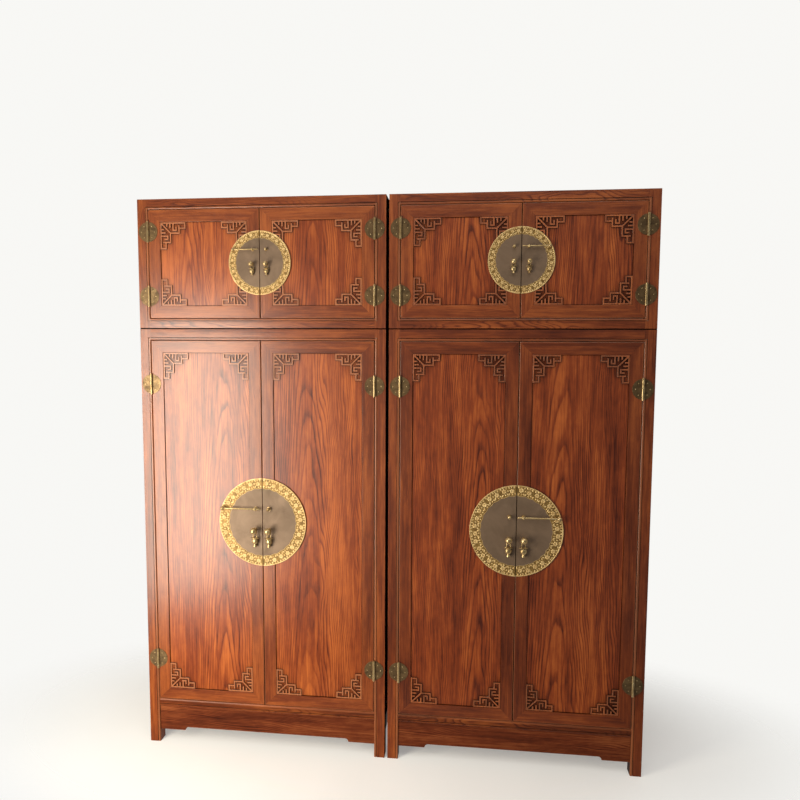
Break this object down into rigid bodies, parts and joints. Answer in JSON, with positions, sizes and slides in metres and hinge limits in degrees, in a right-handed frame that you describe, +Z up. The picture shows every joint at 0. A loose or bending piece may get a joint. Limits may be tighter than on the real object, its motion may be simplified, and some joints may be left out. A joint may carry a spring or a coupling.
{
  "type": "compound wardrobe pair",
  "caption": "Pair of tall stained-elm wardrobes, each a two-door cabinet on legs with a hat chest on top, round split brass plates, drop pulls, latch pins and plate hinges.",
  "frame": {"origin": "floor level, under the middle of the pair's overall box", "axes": "+Z up, -Y the front with the doors, +X to the right as seen from the front"},
  "size_m": [2.012, 0.6022, 2.25],
  "materials": {
    "stained_elm": "satin varnish",
    "panel_elm": "satin varnish",
    "inner_wood": "matt oil",
    "aged_brass": "aged",
    "bright_brass": "polished"
  },
  "bodies": {
    "root": {"left_cabinet_posts": "stained_elm", "left_cabinet_rails": "stained_elm", "left_cabinet_boards": "stained_elm", "left_cabinet_apron": "stained_elm", "left_cabinet_shelf": "inner_wood", "left_clothes_rail": "inner_wood", "left_cabinet_hinge_leaves": "aged_brass", "left_chest_posts": "stained_elm", "left_chest_rails": "stained_elm", "left_chest_panels": "stained_elm", "left_chest_boards": "stained_elm", "left_chest_hinge_leaves": "aged_brass", "right_cabinet_posts": "stained_elm", "right_cabinet_rails": "stained_elm", "right_cabinet_boards": "stained_elm", "right_cabinet_apron": "stained_elm", "right_cabinet_shelf": "inner_wood", "right_clothes_rail": "inner_wood", "right_cabinet_hinge_leaves": "aged_brass", "right_chest_posts": "stained_elm", "right_chest_rails": "stained_elm", "right_chest_panels": "stained_elm", "right_chest_boards": "stained_elm", "right_chest_hinge_leaves": "aged_brass"},
    "left_cabinet_left_door": {"left_cabinet_left_door_frame": "stained_elm", "left_cabinet_left_door_panel": "panel_elm", "left_cabinet_left_door_brass": "aged_brass"},
    "left_cabinet_left_pull": {"left_cabinet_left_pull": "bright_brass"},
    "left_cabinet_right_door": {"left_cabinet_right_door_frame": "stained_elm", "left_cabinet_right_door_panel": "panel_elm", "left_cabinet_right_door_brass": "aged_brass"},
    "left_cabinet_right_pull": {"left_cabinet_right_pull": "bright_brass"},
    "left_cabinet_latch_pin": {"left_cabinet_latch_pin": "bright_brass"},
    "left_chest_left_door": {"left_chest_left_door_frame": "stained_elm", "left_chest_left_door_panel": "panel_elm", "left_chest_left_door_brass": "aged_brass"},
    "left_chest_left_pull": {"left_chest_left_pull": "bright_brass"},
    "left_chest_right_door": {"left_chest_right_door_frame": "stained_elm", "left_chest_right_door_panel": "panel_elm", "left_chest_right_door_brass": "aged_brass"},
    "left_chest_right_pull": {"left_chest_right_pull": "bright_brass"},
    "left_chest_latch_pin": {"left_chest_latch_pin": "bright_brass"},
    "right_cabinet_left_door": {"right_cabinet_left_door_frame": "stained_elm", "right_cabinet_left_door_panel": "panel_elm", "right_cabinet_left_door_brass": "aged_brass"},
    "right_cabinet_left_pull": {"right_cabinet_left_pull": "bright_brass"},
    "right_cabinet_right_door": {"right_cabinet_right_door_frame": "stained_elm", "right_cabinet_right_door_panel": "panel_elm", "right_cabinet_right_door_brass": "aged_brass"},
    "right_cabinet_right_pull": {"right_cabinet_right_pull": "bright_brass"},
    "right_cabinet_latch_pin": {"right_cabinet_latch_pin": "bright_brass"},
    "right_chest_left_door": {"right_chest_left_door_frame": "stained_elm", "right_chest_left_door_panel": "panel_elm", "right_chest_left_door_brass": "aged_brass"},
    "right_chest_left_pull": {"right_chest_left_pull": "bright_brass"},
    "right_chest_right_door": {"right_chest_right_door_frame": "stained_elm", "right_chest_right_door_panel": "panel_elm", "right_chest_right_door_brass": "aged_brass"},
    "right_chest_right_pull": {"right_chest_right_pull": "bright_brass"},
    "right_chest_latch_pin": {"right_chest_latch_pin": "bright_brass"}
  },
  "joints": [
    {"name": "left_cabinet_left_door_hinge", "type": "hinge", "parent": "root", "child": "left_cabinet_left_door", "pos_m": [-0.962, -0.26385, 0.961], "axis": [0, 0, -1], "range_deg": [0, 170]},
    {"name": "left_cabinet_left_pull_swing", "type": "hinge", "parent": "left_cabinet_left_door", "child": "left_cabinet_left_pull", "pos_m": [-0.535, -0.27105, 0.931], "axis": [1, 0, 0], "range_deg": [-30, 0]},
    {"name": "left_cabinet_right_door_hinge", "type": "hinge", "parent": "root", "child": "left_cabinet_right_door", "pos_m": [-0.05, -0.26385, 0.961], "axis": [0, 0, 1], "range_deg": [0, 90]},
    {"name": "left_cabinet_right_pull_swing", "type": "hinge", "parent": "left_cabinet_right_door", "child": "left_cabinet_right_pull", "pos_m": [-0.477, -0.27105, 0.931], "axis": [1, 0, 0], "range_deg": [-30, 0]},
    {"name": "left_cabinet_latch_pin_slide", "type": "slide", "parent": "left_cabinet_left_door", "child": "left_cabinet_latch_pin", "axis": [-1, 0, 0], "range_m": [-0.088, 0]},
    {"name": "left_chest_left_door_hinge", "type": "hinge", "parent": "root", "child": "left_chest_left_door", "pos_m": [-0.962, -0.26385, 1.997], "axis": [0, 0, -1], "range_deg": [0, 170]},
    {"name": "left_chest_left_pull_swing", "type": "hinge", "parent": "left_chest_left_door", "child": "left_chest_left_pull", "pos_m": [-0.535, -0.26832, 1.991], "axis": [1, 0, 0], "range_deg": [-30, 0]},
    {"name": "left_chest_right_door_hinge", "type": "hinge", "parent": "root", "child": "left_chest_right_door", "pos_m": [-0.05, -0.26385, 1.997], "axis": [0, 0, 1], "range_deg": [0, 90]},
    {"name": "left_chest_right_pull_swing", "type": "hinge", "parent": "left_chest_right_door", "child": "left_chest_right_pull", "pos_m": [-0.477, -0.26832, 1.991], "axis": [1, 0, 0], "range_deg": [-30, 0]},
    {"name": "left_chest_latch_pin_slide", "type": "slide", "parent": "left_chest_left_door", "child": "left_chest_latch_pin", "axis": [-1, 0, 0], "range_m": [-0.047, 0]},
    {"name": "right_cabinet_left_door_hinge", "type": "hinge", "parent": "root", "child": "right_cabinet_left_door", "pos_m": [0.05, -0.26385, 0.961], "axis": [0, 0, -1], "range_deg": [0, 90]},
    {"name": "right_cabinet_left_pull_swing", "type": "hinge", "parent": "right_cabinet_left_door", "child": "right_cabinet_left_pull", "pos_m": [0.477, -0.27105, 0.931], "axis": [1, 0, 0], "range_deg": [-30, 0]},
    {"name": "right_cabinet_right_door_hinge", "type": "hinge", "parent": "root", "child": "right_cabinet_right_door", "pos_m": [0.962, -0.26385, 0.961], "axis": [0, 0, 1], "range_deg": [0, 170]},
    {"name": "right_cabinet_right_pull_swing", "type": "hinge", "parent": "right_cabinet_right_door", "child": "right_cabinet_right_pull", "pos_m": [0.535, -0.27105, 0.931], "axis": [1, 0, 0], "range_deg": [-30, 0]},
    {"name": "right_cabinet_latch_pin_slide", "type": "slide", "parent": "right_cabinet_right_door", "child": "right_cabinet_latch_pin", "axis": [1, 0, 0], "range_m": [-0.088, 0]},
    {"name": "right_chest_left_door_hinge", "type": "hinge", "parent": "root", "child": "right_chest_left_door", "pos_m": [0.05, -0.26385, 1.997], "axis": [0, 0, -1], "range_deg": [0, 90]},
    {"name": "right_chest_left_pull_swing", "type": "hinge", "parent": "right_chest_left_door", "child": "right_chest_left_pull", "pos_m": [0.477, -0.26832, 1.991], "axis": [1, 0, 0], "range_deg": [-30, 0]},
    {"name": "right_chest_right_door_hinge", "type": "hinge", "parent": "root", "child": "right_chest_right_door", "pos_m": [0.962, -0.26385, 1.997], "axis": [0, 0, 1], "range_deg": [0, 170]},
    {"name": "right_chest_right_pull_swing", "type": "hinge", "parent": "right_chest_right_door", "child": "right_chest_right_pull", "pos_m": [0.535, -0.26832, 1.991], "axis": [1, 0, 0], "range_deg": [-30, 0]},
    {"name": "right_chest_latch_pin_slide", "type": "slide", "parent": "right_chest_right_door", "child": "right_chest_latch_pin", "axis": [1, 0, 0], "range_m": [-0.047, 0]}
  ]
}
